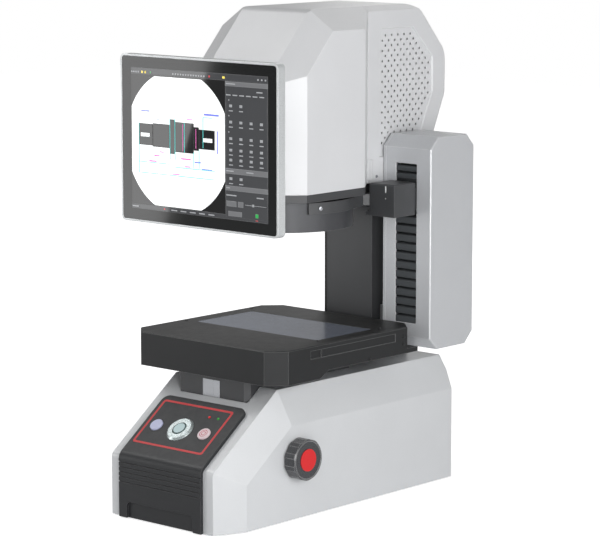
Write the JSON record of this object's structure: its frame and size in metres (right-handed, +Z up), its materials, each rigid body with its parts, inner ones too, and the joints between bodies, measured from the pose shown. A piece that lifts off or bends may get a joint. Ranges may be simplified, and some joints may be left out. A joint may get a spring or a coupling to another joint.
{
  "type": "vision measuring machine",
  "caption": "Bench-top optical measuring machine: white base with control panel, glass stage on a lift pillar, lens head with ring light on a bellows slide, and a tilting monitor.",
  "frame": {"origin": "foot of the optical axis on the surface that the machine stands on", "axes": "+Z up, the front with the control panel and the monitor faces -Y, +X to the right seen from the front"},
  "size_m": [0.3665, 0.627, 0.83],
  "materials": {
    "white_paint": "satin powder coat",
    "dark_paint": "satin",
    "stage_paint": "satin",
    "black_panel": "satin film",
    "red_inlay": "satin",
    "left_button": "satin",
    "measure_button": "satin",
    "right_button": "satin",
    "button_bezel": "satin",
    "red_lamp": "gloss",
    "green_lamp": "gloss",
    "knob_black": "satin",
    "knob_red": "gloss",
    "steel": "ground",
    "aluminium": "anodised",
    "silver_box": "satin silver",
    "bellows": "matt",
    "stage_glass": "polished",
    "lens_glass": "coated",
    "lens_black": "black anodised",
    "ring_black": "black anodised",
    "diffuser": "frosted",
    "monitor_frame": "satin",
    "screen": "gloss",
    "rubber": "matt",
    "black_plastic": "matt"
  },
  "bodies": {
    "machine": {"base_housing": "white_paint", "base_plate": "steel", "levelling_feet": "rubber", "front_panel": "black_panel", "panel_outline": "red_inlay", "measure_button_bezel": "button_bezel", "red_lamp": "red_lamp", "green_lamp": "green_lamp", "knob_bush": "steel", "lift_guide": "steel", "column": "dark_paint", "column_side_cover": "black_plastic", "head_plate": "dark_paint", "head_housing": "white_paint", "rear_cover": "white_paint", "vent_panels": "white_paint", "joint_frame": "dark_paint", "lens_barrel": "lens_black", "lens_front_glass": "lens_glass", "lens_camera": "lens_black", "lift_housing": "silver_box", "lift_mount": "silver_box", "ring_lift_rail": "steel", "ring_lift_drive": "steel", "lower_bellows": "bellows", "upper_bellows": "bellows", "monitor_bracket": "dark_paint", "power_and_control": "aluminium", "power_inlet": "black_plastic", "power_switch": "black_plastic"},
    "lift": {"lift_pillar": "dark_paint", "guide_strip": "steel", "lift_rack": "steel", "lift_guide_blocks": "steel", "backlight_lens": "lens_black", "stage_base": "aluminium", "y_rails": "steel", "y_screw": "steel"},
    "saddle": {"stage_saddle": "aluminium", "saddle_runners": "steel", "saddle_nuts": "steel"},
    "table": {"stage_cover": "stage_paint", "stage_glass": "stage_glass", "x_rails": "steel", "x_screw": "steel"},
    "knob": {"focus_knob": "knob_black", "knob_cap": "knob_red", "pinion_shaft": "steel"},
    "ring_lift": {"lift_block": "dark_paint", "lift_runner": "steel", "ring_clamp": "dark_paint", "ring_housing": "ring_black", "ring_diffuser": "diffuser"},
    "monitor": {"monitor_frame": "monitor_frame", "screen_glass": "screen"},
    "left_button": {"left_button": "left_button"},
    "measure_button": {"measure_button": "measure_button"},
    "right_button": {"right_button": "right_button"}
  },
  "joints": [
    {"name": "stage_z", "type": "slide", "parent": "machine", "child": "lift", "axis": [0, 0, 1], "range_m": [-0.014, 0.05]},
    {"name": "stage_y", "type": "slide", "parent": "lift", "child": "saddle", "axis": [0, 1, 0], "range_m": [-0.06, 0]},
    {"name": "stage_x", "type": "slide", "parent": "saddle", "child": "table", "axis": [1, 0, 0], "range_m": [-0.075, 0.075]},
    {"name": "knob_turn", "type": "hinge", "parent": "machine", "child": "knob", "pos_m": [0.139, -0.118, 0.1035], "axis": [1, 0, 0], "range_deg": [-60, 213]},
    {"name": "ring_lift", "type": "slide", "parent": "machine", "child": "ring_lift", "axis": [0, 0, 1], "range_m": [-0.12, 0], "deforming": ["lower_bellows", "upper_bellows"]},
    {"name": "monitor_tilt", "type": "hinge", "parent": "machine", "child": "monitor", "pos_m": [0, -0.158, 0.618], "axis": [1, 0, 0], "range_deg": [-10, 15]},
    {"name": "left_button_press", "type": "slide", "parent": "machine", "child": "left_button", "axis": [0, 0.5975, -0.8019], "range_m": [0, 0.002], "stiffness_N_per_m": 900, "springref_m": -0.001},
    {"name": "measure_button_press", "type": "slide", "parent": "machine", "child": "measure_button", "axis": [0, 0.5975, -0.8019], "range_m": [0, 0.002], "stiffness_N_per_m": 900, "springref_m": -0.001},
    {"name": "right_button_press", "type": "slide", "parent": "machine", "child": "right_button", "axis": [0, 0.5975, -0.8019], "range_m": [0, 0.002], "stiffness_N_per_m": 900, "springref_m": -0.001}
  ],
  "couplings": [
    {"joint": "knob_turn", "follows": "stage_z", "rad_per_m": 74.074}
  ]
}
